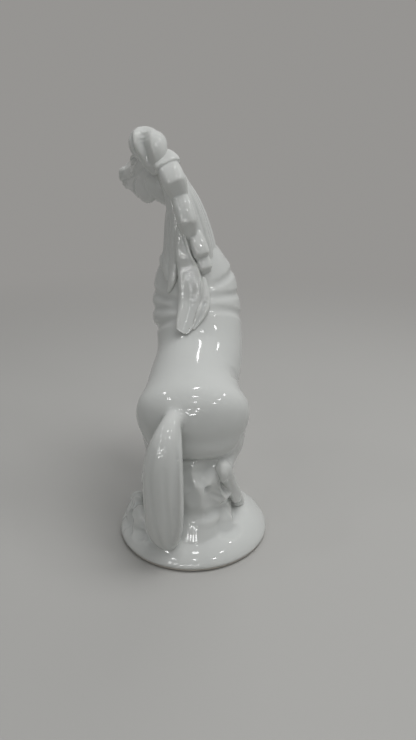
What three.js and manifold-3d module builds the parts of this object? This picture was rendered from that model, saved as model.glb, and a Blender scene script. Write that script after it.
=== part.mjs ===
// A glazed porcelain figurine: a baroque horse rearing on a rock, on a round domed plinth.
// It is put together as a pottery does it, from separate slip castings: each one is seated on the castings
// that carry it, with a thin slip line between them.
// Millimetres, +Z up. The horse faces +Y and turns its head to -X. The origin is under the plinth's centre.
import * as THREE from "three";
import { mergeVertices } from "three/addons/utils/BufferGeometryUtils.js";
import Module from "manifold-3d";

const wasm = await Module();
wasm.setup();

const { lerp, degToRad } = THREE.MathUtils;
const at = (x, y, z) => new THREE.Vector3(x, y, z);
const LEFT = -1;
const RIGHT = 1;

// Castings
const SLIP_LINE = 0.3;
const WALL = 4;
const VENT_DIAMETER = 9;
const VENT_OFFSET = 20;

// Plinth
const PLINTH_DIAMETER = 116;
const PLINTH_EDGE = 3.5;
const PLINTH_BEVEL = 1.2;
const PLINTH_HEIGHT = 25;
const PLINTH_CROWN_DIAMETER = 62;

// A point above the plinth's crown, on which everything stands
const stand = (x, y, height) => at(x, y, PLINTH_HEIGHT + height);

// Rock
const ROCK_HEIGHT = 50;
const ROCK_WIDTH = 58;
const ROCK_DEPTH = 76;
const ROCK_RELIEF = 0.08;
const SPUR_HEIGHT = 24;
const SPUR_THICKNESS = 17;

// Trunk: landmarks along its middle, from the buttocks to the root of the neck
const RUMP_WIDTH = 82;
const BARREL_WIDTH = 67;
const SHOULDER_WIDTH = 66;
const SEAT = stand(0.5, -21, 60);
const HIPS = stand(1, -11, 80);
const LOIN = stand(4, 14, 93);
const SADDLE = stand(6, 30, 103);
const GIRTH = stand(5.5, 42, 117);
const CHEST = stand(3.8, 54, 141);
const NECK_ROOT = stand(1.2, 57, 166);
const NECK_SEAT = stand(-0.5, 57, 187);

// Bands round the shoulders
const BAND_RADIUS = 9.5;
const BAND_PROUD = 3;

// Legs
const THIGH_WIDTH = 43;
const HOCK_WIDTH = 14;
const CANNON_WIDTH = 10.5;
const KNEE_WIDTH = 14;
const HOOF_WIDTH = 18;
const LEFT_HOCK = stand(-ROCK_WIDTH / 2 - 2, -26, 33);
const RIGHT_HOCK = stand(ROCK_WIDTH / 2 - 5, -28, 40);
const LEFT_KNEE = stand(-19, 124, 140);
const LEFT_FETLOCK = stand(-17, 117, 108);
const RIGHT_KNEE = stand(22, 121, 125);
const RIGHT_FETLOCK = stand(19, 108, 95);

// Neck and head
const NECK_WIDTH = 33;
const THROAT_WIDTH = 21.5;
const NECK_MIDDLE = stand(-3, 54, 201);
const NECK_BEND = stand(-6.5, 50.5, 221);
const THROAT = stand(-14, 50, 238);
const POLL = stand(-23, 55, 255);
const HEAD_LENGTH = 60;
const HEAD_TURN = degToRad(33);
const HEAD_DROP = degToRad(12);
const HEAD_WIDTH = 26;
const JOWL_DEPTH = 28;
const MUZZLE_WIDTH = 17.5;
const EAR_LENGTH = 18;
const EAR_WIDTH = 10;

// Mane and tail
const LOCK_WIDTH = 16;
const LOCK_THICKNESS = 13;
const STRAND_WIDTH = 9;
const STRAND_THICKNESS = 7;
const TAIL_WIDTH = 27;
const TAIL_THICKNESS = 17;
const TAIL_STRAND_WIDTH = 6;

const PORCELAIN = new THREE.MeshStandardMaterial({ color: 0xe4e5e2, roughness: 0.12, metalness: 0 });

// A solid from an indexed geometry, and a geometry from a solid.
function solidOf(geometry) {
  return new wasm.Manifold(
    new wasm.Mesh({
      numProp: 3,
      vertProperties: new Float32Array(geometry.getAttribute("position").array),
      triVerts: new Uint32Array(geometry.index.array),
    }),
  );
}

function geometryOf(solid) {
  const { vertProperties, triVerts } = solid.getMesh();
  const geometry = new THREE.BufferGeometry()
    .setAttribute("position", new THREE.BufferAttribute(vertProperties, 3))
    .setIndex(new THREE.BufferAttribute(triVerts, 1));
  geometry.computeVertexNormals();
  return geometry;
}

// A primitive or a lathe as a solid, with its seams merged.
function solidOfPrimitive(geometry) {
  geometry.deleteAttribute("normal");
  geometry.deleteAttribute("uv");
  return solidOf(mergeVertices(geometry, 1e-4));
}

const joined = (solids) => solids.reduce((whole, solid) => whole.add(solid));

// One oval section of a loft. Its half sizes are measured from the centre: across to both sides, up towards
// side x tangent, and down the other way.
const section = (centre, across, up, down = up) => ({ centre, across, up, down });

// A loft through oval sections. Each end is domed by its own length, or flat where that is zero.
// The ripple is a share of the radius, added at each angle and place along the loft.
function loft(sections, shape) {
  const { side = at(1, 0, 0), sides, steps, startDome = 0, endDome = 0, domeRings = 2, ripple } = shape;
  const path = new THREE.CatmullRomCurve3(sections.map((s) => s.centre));
  const sizes = new THREE.CubicInterpolant(
    sections.map((_, i) => i / (sections.length - 1)),
    sections.flatMap((s) => [s.across, s.up, s.down]),
    3,
  );

  function frame(t) {
    const along = path.getTangent(t);
    const across = side.clone().addScaledVector(along, -side.dot(along)).normalize();
    return { centre: path.getPoint(t), along, across, up: across.clone().cross(along) };
  }

  // A point at an angle round the section: 0 is along side, a quarter turn is up.
  function surface(t, angle, lift = 0, scale = 1) {
    const { centre, across, up } = frame(t);
    const [wide, high, low] = sizes.evaluate(t);
    const swell = ripple ? 1 + ripple(angle, t) : 1;
    const rise = Math.sin(angle);
    return centre
      .addScaledVector(across, scale * Math.cos(angle) * (wide * swell + lift))
      .addScaledVector(up, scale * rise * ((rise > 0 ? high : low) * swell + lift));
  }

  function solid(grow = 0) {
    const rings = [];
    const addRing = (t, scale, shift) => {
      const offset = frame(t).along.multiplyScalar(shift);
      const angles = Array.from({ length: sides }, (_, k) => (2 * Math.PI * k) / sides);
      rings.push(angles.map((angle) => surface(t, angle, grow, scale).add(offset)));
    };
    const addDomeRing = (t, reach, i) => {
      const turn = (Math.PI / 2) * (i / domeRings);
      addRing(t, Math.cos(turn), Math.sin(turn) * reach);
    };
    const startReach = -(startDome + grow);
    const endReach = endDome + grow;
    if (startDome) for (let i = domeRings - 1; i > 0; i--) addDomeRing(0, startReach, i);
    for (let i = 0; i <= steps; i++) addRing(i / steps, 1, i === 0 && !startDome ? -grow : 0);
    if (endDome) for (let i = 1; i < domeRings; i++) addDomeRing(1, endReach, i);

    const [first, last] = [frame(0), frame(1)];
    const points = [
      ...rings.flat(),
      first.centre.addScaledVector(first.along, startReach),
      last.centre.addScaledVector(last.along, endReach),
    ];
    const startTip = points.length - 2;
    const endTip = points.length - 1;
    const lastRing = (rings.length - 1) * sides;
    const index = [];
    for (let k = 0; k < sides; k++) {
      const next = (k + 1) % sides;
      index.push(startTip, k, next);
      index.push(endTip, lastRing + next, lastRing + k);
      for (let ring = 0; ring < lastRing; ring += sides) {
        index.push(ring + k, ring + sides + k, ring + next);
        index.push(ring + next, ring + sides + k, ring + sides + next);
      }
    }
    return solidOf(new THREE.BufferGeometry().setFromPoints(points).setIndex(index));
  }

  return { solid, surface };
}

// Several lofts cast as one body.
const castTogether = (forms) => (grow = 0) => joined(forms.map((form) => form.solid(grow)));

// Plinth: a revolved shell with a bevelled foot, a straight edge and a dome that flattens under the rock.
function addDome(outline, radius, edge, crown, top) {
  outline.lineTo(radius, edge);
  outline.bezierCurveTo(radius - 1, edge + 4, crown + 14, top - 5, crown, top - 1.5);
  outline.lineTo(0, top);
}

const revolved = (outline, fineness, segments) =>
  solidOfPrimitive(new THREE.LatheGeometry(outline.getPoints(fineness), segments).rotateX(Math.PI / 2));

function plinth(grow = 0) {
  const radius = PLINTH_DIAMETER / 2 + grow;
  const outline = new THREE.Path();
  outline.moveTo(0, -grow);
  outline.lineTo(radius - PLINTH_BEVEL, -grow);
  outline.lineTo(radius, PLINTH_BEVEL - grow);
  addDome(outline, radius, PLINTH_EDGE + grow, PLINTH_CROWN_DIAMETER / 2 + grow, PLINTH_HEIGHT + grow);
  return revolved(outline, 5, 40);
}

// The hollow inside the plinth, and the vent in its bottom plate that lets the air out in the kiln.
function plinthHollow() {
  const radius = PLINTH_DIAMETER / 2 - 2 * WALL;
  const outline = new THREE.Path();
  outline.moveTo(0, WALL);
  addDome(outline, radius, WALL, PLINTH_CROWN_DIAMETER / 2 - WALL, PLINTH_HEIGHT - WALL);
  const vent = new THREE.CylinderGeometry(VENT_DIAMETER / 2, VENT_DIAMETER / 2, 3 * WALL, 16);
  vent.rotateX(Math.PI / 2);
  vent.translate(0, VENT_OFFSET, 0);
  return revolved(outline, 3, 24).add(solidOfPrimitive(vent));
}

// Trunk: the barrel and croup in one loft, a thigh on each side, and three bands fanned round each shoulder.
const barrel = loft(
  [
    section(SEAT, RUMP_WIDTH / 2 - 5, 20, 24),
    section(HIPS, RUMP_WIDTH / 2, 26, 36),
    section(LOIN, BARREL_WIDTH / 2 + 1, 30, 31),
    section(SADDLE, BARREL_WIDTH / 2, 31, 31),
    section(GIRTH, BARREL_WIDTH / 2, 32, 33),
    section(CHEST, SHOULDER_WIDTH / 2, 32, 32),
    section(NECK_ROOT, SHOULDER_WIDTH / 2 - 2.5, 26.5, 28),
    section(NECK_SEAT, SHOULDER_WIDTH / 2 - 12, 21, 23),
  ],
  { sides: 20, steps: 17, startDome: 14, endDome: 8, domeRings: 3 },
);

function thigh(hand) {
  const onHip = (out, forward, up) => HIPS.clone().add(at(hand * out, forward, up));
  return loft(
    [
      section(onHip(16, 2, 4), THIGH_WIDTH / 2 - 3, 20),
      section(onHip(18.5, 0, -12), THIGH_WIDTH / 2, 26),
      section(onHip(21, 8, -28), THIGH_WIDTH / 2 - 4, 22, 21),
      section(onHip(24, 22, -39), THIGH_WIDTH / 2 - 9, 14),
    ],
    { sides: 14, steps: 8, startDome: 9, endDome: 10, domeRings: 3 },
  );
}

// A band is thin beside the withers, full on the shoulder and thin again on the chest.
function shoulderBand(hand, { back, side, radius }) {
  const stops = [
    { t: back, degrees: 68, swell: 0.4 },
    { t: lerp(back, side, 0.6), degrees: 36, swell: 0.8 },
    { t: side, degrees: 2, swell: 1 },
    { t: lerp(side, back, 0.3), degrees: -46, swell: 0.35 },
  ];
  return loft(
    stops.map(({ t, degrees, swell }) => {
      const angle = hand === RIGHT ? degToRad(degrees) : Math.PI - degToRad(degrees);
      return section(barrel.surface(t, angle, swell * (BAND_PROUD - radius)), swell * radius, swell * radius);
    }),
    { side: at(0, 0.35, 0.94), sides: 8, steps: 6, startDome: 3, endDome: 4 },
  );
}

const SHOULDER_BANDS = [
  { back: 0.735, side: 0.74, radius: BAND_RADIUS },
  { back: 0.79, side: 0.84, radius: BAND_RADIUS },
  { back: 0.855, side: 0.955, radius: BAND_RADIUS },
];
const shoulder = (hand) => SHOULDER_BANDS.map((band) => shoulderBand(hand, band));
const trunk = castTogether([barrel, thigh(LEFT), thigh(RIGHT), ...shoulder(LEFT), ...shoulder(RIGHT)]);

// Legs: each is a bent chain of lofts from the trunk to the hoof, cast in one piece.
const limb = (bones) =>
  castTogether(bones.map(({ sections, ...domes }) => loft(sections, { sides: 10, steps: 5, ...domes })));

function hindLeg(hand, hock) {
  const stifle = HIPS.clone().add(at(hand * 25, 22, -38));
  const gaskin = stifle.clone().lerp(hock, 0.5).add(at(0, 0, 3));
  const fetlock = stand(hand * (ROCK_WIDTH / 2 + 3.5), hock.y + 19, 9);
  const coronet = fetlock.clone().add(at(hand * 0.5, 9, -9));
  const sole = coronet.clone().add(at(hand * 0.5, 5, -10));
  return limb([
    {
      sections: [
        section(stifle, HOCK_WIDTH / 2 + 4, 12),
        section(gaskin, HOCK_WIDTH / 2 + 2.5, 11),
        section(hock, HOCK_WIDTH / 2, 7),
      ],
      startDome: 8,
      endDome: 6,
    },
    {
      sections: [
        section(hock.clone().add(at(0, -1, 2)), HOCK_WIDTH / 2, 7, 7.5),
        section(hock.clone().lerp(fetlock, 0.5), CANNON_WIDTH / 2, 5.5, 6),
        section(fetlock, CANNON_WIDTH / 2 + 1, 6.2, 7),
      ],
      startDome: 6,
      endDome: 5,
    },
    {
      sections: [
        section(fetlock, CANNON_WIDTH / 2 + 0.4, 5.5, 6),
        section(coronet, HOOF_WIDTH / 2 - 1.5, 8, 7),
        section(sole, HOOF_WIDTH / 2, 10, 8),
      ],
      startDome: 4,
    },
  ]);
}

function foreleg(hand, knee, fetlock) {
  const shoulder = CHEST.clone().add(at(hand * 17, 12, -14));
  const elbow = CHEST.clone().add(at(hand * 20, 28, -20));
  const coronet = fetlock.clone().add(at(-hand, -8, -8));
  const sole = coronet.clone().add(at(-hand, -7, -8));
  return limb([
    {
      sections: [
        section(shoulder, KNEE_WIDTH / 2 + 4, 15),
        section(elbow, KNEE_WIDTH / 2 + 2.5, 12.5),
        section(elbow.clone().lerp(knee, 0.55), KNEE_WIDTH / 2, 9),
        section(knee, KNEE_WIDTH / 2, 7.5),
      ],
      startDome: 9,
      endDome: 5,
      steps: 7,
    },
    {
      sections: [
        section(knee.clone().add(at(0, 0, 1)), KNEE_WIDTH / 2, 7.5, 6.5),
        section(knee.clone().lerp(fetlock, 0.5), CANNON_WIDTH / 2, 5.4),
        section(fetlock, CANNON_WIDTH / 2 + 1, 6.6, 6.2),
      ],
      startDome: 5,
      endDome: 5,
    },
    {
      sections: [
        section(fetlock, CANNON_WIDTH / 2 + 0.4, 5.6),
        section(coronet, HOOF_WIDTH / 2 - 1.5, 7.5),
        section(sole, HOOF_WIDTH / 2, 9),
      ],
      startDome: 4,
    },
  ]);
}

// Neck: rises from the trunk, leans to the left and narrows to the throat.
const neck = loft(
  [
    section(NECK_ROOT.clone().add(at(-1, 0, -5)), NECK_WIDTH / 2 + 7, 25, 27),
    section(NECK_ROOT.clone().lerp(NECK_MIDDLE, 0.4), NECK_WIDTH / 2 + 4, 24, 25),
    section(NECK_MIDDLE, NECK_WIDTH / 2, 22, 20.5),
    section(NECK_BEND, (NECK_WIDTH + THROAT_WIDTH) / 4 - 0.8, 18.5, 16.5),
    section(THROAT, THROAT_WIDTH / 2, 15, 14),
    section(POLL.clone().add(at(1, -1, -5)), THROAT_WIDTH / 2 - 1, 12.5, 12),
  ],
  { sides: 18, steps: 13, startDome: 10, endDome: 5 },
);

// Head: one loft from the poll to the lips, with the jowl as the deepest section.
const headDirection = at(
  -Math.sin(HEAD_TURN) * Math.cos(HEAD_DROP),
  Math.cos(HEAD_TURN) * Math.cos(HEAD_DROP),
  -Math.sin(HEAD_DROP),
);
const headSide = headDirection.clone().cross(at(0, 0, 1)).normalize();
const headRoot = POLL.clone().add(at(0, 1, -2));
const alongHead = (share) => headRoot.clone().addScaledVector(headDirection, share * HEAD_LENGTH);
const head = loft(
  [
    section(alongHead(-0.1), HEAD_WIDTH / 2 - 4.5, 8, 12),
    section(alongHead(0.08), HEAD_WIDTH / 2 - 0.5, 11, JOWL_DEPTH - 4),
    section(alongHead(0.3), HEAD_WIDTH / 2 + 0.5, 12, JOWL_DEPTH + 1.5),
    section(alongHead(0.5), HEAD_WIDTH / 2 - 2, 11.5, JOWL_DEPTH - 5),
    section(alongHead(0.7), MUZZLE_WIDTH / 2 + 1, 10.5, 13),
    section(alongHead(0.88), MUZZLE_WIDTH / 2 - 0.4, 9.5, 9.5),
    section(alongHead(1), MUZZLE_WIDTH / 2, 8.5, 9),
  ],
  { side: headSide, sides: 16, steps: 13, startDome: 6, endDome: 4.5, domeRings: 3 },
);

// Ears: leaf-shaped, rooted in the poll and turned out.
function ear(angle, lean) {
  const root = head.surface(0.28, degToRad(angle), -3);
  const grain = at(lean, 0.1, 1).normalize();
  const rise = (share) => root.clone().addScaledVector(grain, share * EAR_LENGTH);
  return loft(
    [
      section(rise(0), EAR_WIDTH / 2 - 1, 3),
      section(rise(0.45), EAR_WIDTH / 2, 2.8),
      section(rise(0.8), EAR_WIDTH / 2 - 1.3, 2),
      section(rise(1), 1, 0.8),
    ],
    { sides: 10, steps: 6, startDome: 2, endDome: 0.8 },
  );
}

// Mane: each crest lock is rooted in the crest and ends in a full, blunt curl over the root of the next.
const CREST = 90;
function crestLock({ from, to, sway, width, thickness }) {
  const onCrest = (share, lift) => neck.surface(lerp(from, to, share), degToRad(CREST - sway * share), lift);
  return loft(
    [
      section(onCrest(0, -3), width * 0.3, thickness * 0.24),
      section(onCrest(0.5, thickness * 0.2), width * 0.45, thickness * 0.42),
      section(onCrest(1, thickness * 0.28), width * 0.5, thickness * 0.5),
    ],
    { sides: 10, steps: 5, startDome: 3, endDome: 2.5 },
  );
}

const CREST_LOCKS = [
  { from: 1, to: 0.88, sway: 3, width: LOCK_WIDTH, thickness: LOCK_THICKNESS },
  { from: 0.92, to: 0.76, sway: 8, width: LOCK_WIDTH + 1.5, thickness: LOCK_THICKNESS + 1 },
  { from: 0.75, to: 0.54, sway: 10, width: LOCK_WIDTH - 1, thickness: LOCK_THICKNESS },
  { from: 0.5, to: 0.28, sway: 30, width: LOCK_WIDTH - 4, thickness: LOCK_THICKNESS - 1 },
  { from: 0.32, to: 0.175, sway: 27, width: LOCK_WIDTH - 5, thickness: LOCK_THICKNESS - 2 },
];

// Long strands that lie side by side down one flank of the neck.
function maneFall(strands) {
  const SWELL = [0.45, 0.95, 1, 0.45];
  const forms = strands.map(({ from, to, start, end }) => {
    const side = at(Math.sin(degToRad(start)), Math.cos(degToRad(start)), 0);
    const sections = SWELL.map((swell, i) => {
      const share = i / (SWELL.length - 1);
      const place = neck.surface(lerp(from, to, share), degToRad(lerp(start, end, share)), 0.2);
      return section(place, (swell * STRAND_WIDTH) / 2, (swell * STRAND_THICKNESS) / 2);
    });
    return loft(sections, { side, sides: 8, steps: 7, startDome: 2, endDome: 3 });
  });
  return castTogether(forms);
}

const maneFallRight = maneFall([
  { from: 0.82, to: 0.16, start: 58, end: 40 },
  { from: 0.76, to: 0.12, start: 36, end: 19 },
  { from: 0.7, to: 0.14, start: 14, end: -2 },
]);
const maneFallLeft = maneFall([
  { from: 0.68, to: 0.12, start: 118, end: 115 },
  { from: 0.63, to: 0.08, start: 138, end: 136 },
  { from: 0.52, to: 0.12, start: 158, end: 157 },
]);

// Forelock: two curls that rise out of the top of the mane and roll forward over the poll, the larger one
// between the ears.
function forelockCurl(offsets, width, thickness) {
  const SWELL = [0.6, 1, 1, 0.85, 0.5];
  return loft(
    offsets.map((offset, i) =>
      section(POLL.clone().add(offset), (SWELL[i] * width) / 2, (SWELL[i] * thickness) / 2),
    ),
    { sides: 10, steps: 7, startDome: 3, endDome: 3 },
  );
}

const forelock = castTogether([
  forelockCurl(
    [at(2, -16, -5), at(-1.5, -13, 8), at(-4, -1, 13.5), at(-9, 12, 11), at(-15, 23, 5)],
    LOCK_WIDTH - 2,
    LOCK_THICKNESS - 2,
  ),
  forelockCurl(
    [at(-6, -13, -5), at(-12, -12, 8), at(-14, -3, 15), at(-14, 4, 14), at(-15, 10, 8)],
    LOCK_WIDTH - 6,
    LOCK_THICKNESS - 3,
  ),
]);

// Locks that lie down the back from the withers.
function withersLock(stops, width, thickness) {
  return loft(
    stops.map(({ t, degrees, swell }) =>
      section(barrel.surface(t, degToRad(degrees), 0.8), (swell * width) / 2, (swell * thickness) / 2),
    ),
    { sides: 10, steps: 7, startDome: 3, endDome: 4 },
  );
}

const withersLockLong = withersLock(
  [
    { t: 0.99, degrees: 96, swell: 0.5 },
    { t: 0.88, degrees: 96, swell: 0.95 },
    { t: 0.78, degrees: 97, swell: 1 },
    { t: 0.69, degrees: 102, swell: 0.9 },
    { t: 0.61, degrees: 109, swell: 0.6 },
  ],
  LOCK_WIDTH + 3,
  LOCK_THICKNESS - 4,
);
const withersLockShort = withersLock(
  [
    { t: 0.87, degrees: 78, swell: 0.5 },
    { t: 0.76, degrees: 79, swell: 0.9 },
    { t: 0.66, degrees: 86, swell: 1 },
    { t: 0.57, degrees: 98, swell: 0.4 },
  ],
  LOCK_WIDTH - 7,
  LOCK_THICKNESS - 5,
);

// Tail: leaves the croup at the dock, swells into one broad lock and comes to rest on the plinth.
const DOCK = HIPS.clone().add(at(-9, -22, 10));
const tail = loft(
  [
    { shift: at(0, 0, 0), width: 0.36, thickness: 0.6 },
    { shift: at(-2, -11, -5), width: 0.42, thickness: 0.72 },
    { shift: at(-6, -18, -17), width: 0.7, thickness: 0.88 },
    { shift: at(-9, -21, -34), width: 0.92, thickness: 1 },
    { shift: at(-11, -21, -54), width: 1, thickness: 1 },
    { shift: at(-11, -19, -74), width: 1, thickness: 0.95 },
    { shift: at(-9, -16, -92), width: 0.8, thickness: 0.8 },
    { shift: at(-5, -12, -104), width: 0.4, thickness: 0.5 },
  ].map(({ shift, width, thickness }) =>
    section(DOCK.clone().add(shift), (width * TAIL_WIDTH) / 2, (thickness * TAIL_THICKNESS) / 2),
  ),
  { sides: 12, steps: 14, startDome: 5, endDome: 4 },
);

const tailStrand = loft(
  [
    { t: 0.16, swell: 0.5 },
    { t: 0.32, swell: 0.8 },
    { t: 0.5, swell: 0.9 },
    { t: 0.68, swell: 1 },
    { t: 0.84, swell: 0.6 },
  ].map(({ t, swell }) => {
    const place = tail.surface(t, degToRad(-10), 0.6);
    return section(place, (swell * TAIL_STRAND_WIDTH) / 2, (swell * STRAND_THICKNESS) / 2);
  }),
  { sides: 8, steps: 10, startDome: 2, endDome: 3 },
);

// Rock: a broken column under the haunches with a buttress at its right, and a ridged spur at the left rim.
const rockBase = -14;
function rockRipple(angle, t) {
  const bulge = Math.sin(3 * angle + 5 * t + 0.6);
  const facets = Math.sin(8 * angle - 17 * t) + 0.8 * Math.cos(13 * angle + 29 * t);
  return ROCK_RELIEF * (bulge + facets);
}

function rockStop(x, y, share, width, depth) {
  const centre = stand(x, y, lerp(rockBase, ROCK_HEIGHT, share));
  return section(centre, (width * ROCK_WIDTH) / 2, (depth * ROCK_DEPTH) / 2);
}
const rockColumn = loft(
  [
    rockStop(1, -9, 0, 1, 1),
    rockStop(1, -8, 0.25, 0.97, 0.95),
    rockStop(3, -6, 0.5, 0.9, 0.88),
    rockStop(4, -5, 0.75, 0.84, 0.84),
    rockStop(4, -4, 1, 0.74, 0.76),
  ],
  { sides: 15, steps: 7, endDome: 5, ripple: rockRipple },
);
const rockButtress = loft(
  [
    section(stand(ROCK_WIDTH / 2 - 11, -26, 24), 8, 9),
    section(stand(ROCK_WIDTH / 2 - 9, -28, 8), 10, 10),
    section(stand(ROCK_WIDTH / 2 - 12, -29, -16), 12, 11),
  ],
  { side: at(0, 1, 0), sides: 9, steps: 5, startDome: 5, endDome: 4, ripple: rockRipple },
);
const rock = castTogether([rockColumn, rockButtress]);

function spurRipple(angle, t) {
  const ridges = Math.sin(22 * t) * Math.max(0, Math.sin(angle));
  const facets = Math.sin(5 * angle + 9 * t);
  return ROCK_RELIEF * (1.7 * ridges + 0.8 * facets);
}

function spurStop(degrees, inset, share) {
  const reach = PLINTH_DIAMETER / 2 - inset;
  const centre = stand(reach * Math.cos(degToRad(degrees)), reach * Math.sin(degToRad(degrees)), -17);
  return section(centre, SPUR_THICKNESS / 2, share * SPUR_HEIGHT, WALL);
}
const spur = loft(
  [spurStop(234, 23, 0.75), spurStop(212, 16, 0.8), spurStop(187, 12, 0.9), spurStop(158, 12, 0.75)],
  { side: at(1, 1, 0), sides: 9, steps: 10, startDome: 5, endDome: 6, ripple: spurRipple },
);

// Assembly. Each casting is cut clear of every casting placed before it, and keeps the slip line to them.
const castings = [
  { name: "plinth", form: plinth, hollow: plinthHollow() },
  { name: "trunk", form: trunk },
  { name: "hind_leg_left", form: hindLeg(LEFT, LEFT_HOCK) },
  { name: "hind_leg_right", form: hindLeg(RIGHT, RIGHT_HOCK) },
  { name: "foreleg_left", form: foreleg(LEFT, LEFT_KNEE, LEFT_FETLOCK) },
  { name: "foreleg_right", form: foreleg(RIGHT, RIGHT_KNEE, RIGHT_FETLOCK) },
  { name: "head", form: head.solid },
  { name: "neck", form: neck.solid },
  { name: "ear_left", form: ear(146, -0.4).solid },
  { name: "ear_right", form: ear(50, -0.08).solid },
  ...CREST_LOCKS.map((lock, i) => ({ name: `mane_lock_${i + 1}`, form: crestLock(lock).solid })),
  { name: "forelock", form: forelock },
  { name: "mane_fall_left", form: maneFallLeft },
  { name: "mane_fall_right", form: maneFallRight },
  { name: "withers_lock_long", form: withersLockLong.solid },
  { name: "withers_lock_short", form: withersLockShort.solid },
  { name: "tail", form: tail.solid },
  { name: "tail_strand", form: tailStrand.solid },
  { name: "rock_mound", form: rock },
  { name: "rock_spur", form: spur.solid },
];

const figurine = new THREE.Group();
const placed = [];
for (const { name, form, hollow } of castings) {
  const clear = placed.reduce((solid, carrier) => solid.subtract(carrier), form());
  const whole = hollow ? clear.subtract(hollow) : clear;
  const [largest] = whole.decompose().sort((a, b) => b.volume() - a.volume());
  placed.push(form(SLIP_LINE));
  const casting = new THREE.Mesh(geometryOf(largest), PORCELAIN.clone());
  casting.name = name;
  figurine.add(casting);
}

export default figurine;
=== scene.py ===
import math

import bmesh
import bpy
import numpy as np
from mathutils import Matrix, Vector


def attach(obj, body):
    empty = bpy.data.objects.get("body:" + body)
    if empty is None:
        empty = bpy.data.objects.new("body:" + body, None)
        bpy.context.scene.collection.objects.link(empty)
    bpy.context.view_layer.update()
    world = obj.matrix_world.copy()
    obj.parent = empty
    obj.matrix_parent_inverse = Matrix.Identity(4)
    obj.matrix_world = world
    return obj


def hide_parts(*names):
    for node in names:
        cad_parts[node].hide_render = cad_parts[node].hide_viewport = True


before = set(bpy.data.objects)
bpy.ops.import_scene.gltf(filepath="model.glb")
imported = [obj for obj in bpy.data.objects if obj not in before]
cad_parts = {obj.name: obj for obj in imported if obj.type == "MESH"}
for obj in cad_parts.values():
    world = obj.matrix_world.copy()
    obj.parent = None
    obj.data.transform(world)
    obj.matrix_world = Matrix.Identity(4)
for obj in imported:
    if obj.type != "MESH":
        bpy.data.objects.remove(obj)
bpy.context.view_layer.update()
bpy.ops.object.select_all(action="DESELECT")

# Plinth: a low round dome of slip-cast porcelain that carries the whole group.
# It is glazed all over except for the wiped foot ring it stands on in the kiln, and its bottom plate
# has a vent hole that lets the hot air out.
MM = 0.001
TIP_SIZE = 0.62
HOLLOW_PASSES = 6
HOLLOW_GAIN = 1.2


def form(rings, side=(1, 0, 0), corners=12, tips=(0.5, 0.5), blunt=0.0, axis=None):
    """One closed rounded form: a disc that is extruded from ring to ring and set to each oval in turn.
    A ring is x, y, z, half width, half depth above and half depth below, in millimetres. Blunt squares the
    ovals, and an axis keeps them all parallel."""
    rings = [(*ring, ring[-1]) if len(ring) == 5 else ring for ring in rings]
    fullness = 3 / (2 + math.cos(2 * math.pi / corners))
    places = [Vector(ring[:3]) for ring in rings]
    last = len(rings) - 1
    ovals = []
    for i, ring in enumerate(rings):
        along = Vector(axis) if axis else (places[min(i + 1, last)] - places[max(i - 1, 0)]).normalized()
        across = (Vector(side) - along * along.dot(Vector(side))).normalized()
        sizes = [fullness * size for size in ring[3:]]
        ovals.append((places[i], across, across.cross(along), sizes, along))
    for end, tip, way in ((0, tips[0], -1), (-1, tips[1], 1)):
        place, across, up, sizes, along = ovals[end]
        if tip:
            reach = way * tip * min(sizes)
            domed = (place + along * reach, across, up, [TIP_SIZE * size for size in sizes], along)
            ovals.insert(0 if way < 0 else len(ovals), domed)
    bpy.ops.mesh.primitive_circle_add(vertices=corners, fill_type="NGON", enter_editmode=True)
    mesh = bpy.context.object.data
    for vertex in bmesh.from_edit_mesh(mesh).verts:
        vertex.co *= 1 + blunt * abs(2 * vertex.co.x * vertex.co.y)
    before = (Vector(), Vector((1, 0, 0)), Vector((0, 1, 0)), [1, 1, 1])
    for i, (place, across, up, sizes, _) in enumerate(ovals):
        if i:
            bpy.ops.mesh.extrude_region_move()
        edit = bmesh.from_edit_mesh(mesh)
        for vertex in edit.verts:
            if vertex.select:
                offset = (vertex.co if not i else vertex.co / MM) - before[0]
                rise = offset.dot(before[2])
                wide = offset.dot(before[1]) / before[3][0]
                high = rise / before[3][1 if rise > 0 else 2]
                spot = place + across * (wide * sizes[0]) + up * (high * sizes[1 if high > 0 else 2])
                vertex.co = spot * MM
        before = (place, across, up, sizes)
    bpy.ops.mesh.select_all(action="SELECT")
    bpy.ops.mesh.normals_make_consistent(inside=False)
    bpy.ops.object.mode_set(mode="OBJECT")
    return bpy.context.object


def modified(piece, kind, **settings):
    """A modifier added with these settings and applied at once."""
    bpy.ops.object.select_all(action="DESELECT")
    piece.select_set(True)
    bpy.context.view_layer.objects.active = piece
    modifier = piece.modifiers.new(kind.lower(), kind)
    for name, value in settings.items():
        setattr(modifier, name, value)
    bpy.ops.object.modifier_apply(modifier=modifier.name)
    return piece


def joined(name, pieces):
    """Several forms as one object."""
    bpy.ops.object.select_all(action="DESELECT")
    for piece in pieces:
        piece.select_set(True)
    bpy.context.view_layer.objects.active = pieces[0]
    if len(pieces) > 1:
        bpy.ops.object.join()
    pieces[0].name = name
    pieces[0].data.name = name
    return pieces[0]


def clay(name, forms, rounding=2):
    """Forms pressed together and rounded, before they are fused."""
    return modified(joined(name, forms), "SUBSURF", levels=rounding, render_levels=rounding)


def softened(piece, times):
    """A piece wiped smooth all over, as with a wet sponge."""
    return modified(piece, "SMOOTH", factor=0.5, iterations=times)


def fused(piece, grain, times):
    """The union of all that the piece holds, on an even grain in millimetres, with its creases softened."""
    modified(piece, "REMESH", mode="VOXEL", voxel_size=grain * MM)
    return softened(piece, times)


def points_of(piece):
    """A piece's points in millimetres."""
    points = np.empty(3 * len(piece.data.vertices))
    piece.data.vertices.foreach_get("co", points)
    return points.reshape(-1, 3) / MM


def set_points(piece, points):
    """Moves a piece's points to these places, in millimetres."""
    piece.data.vertices.foreach_set("co", (points * MM).ravel())
    piece.data.update()


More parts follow.
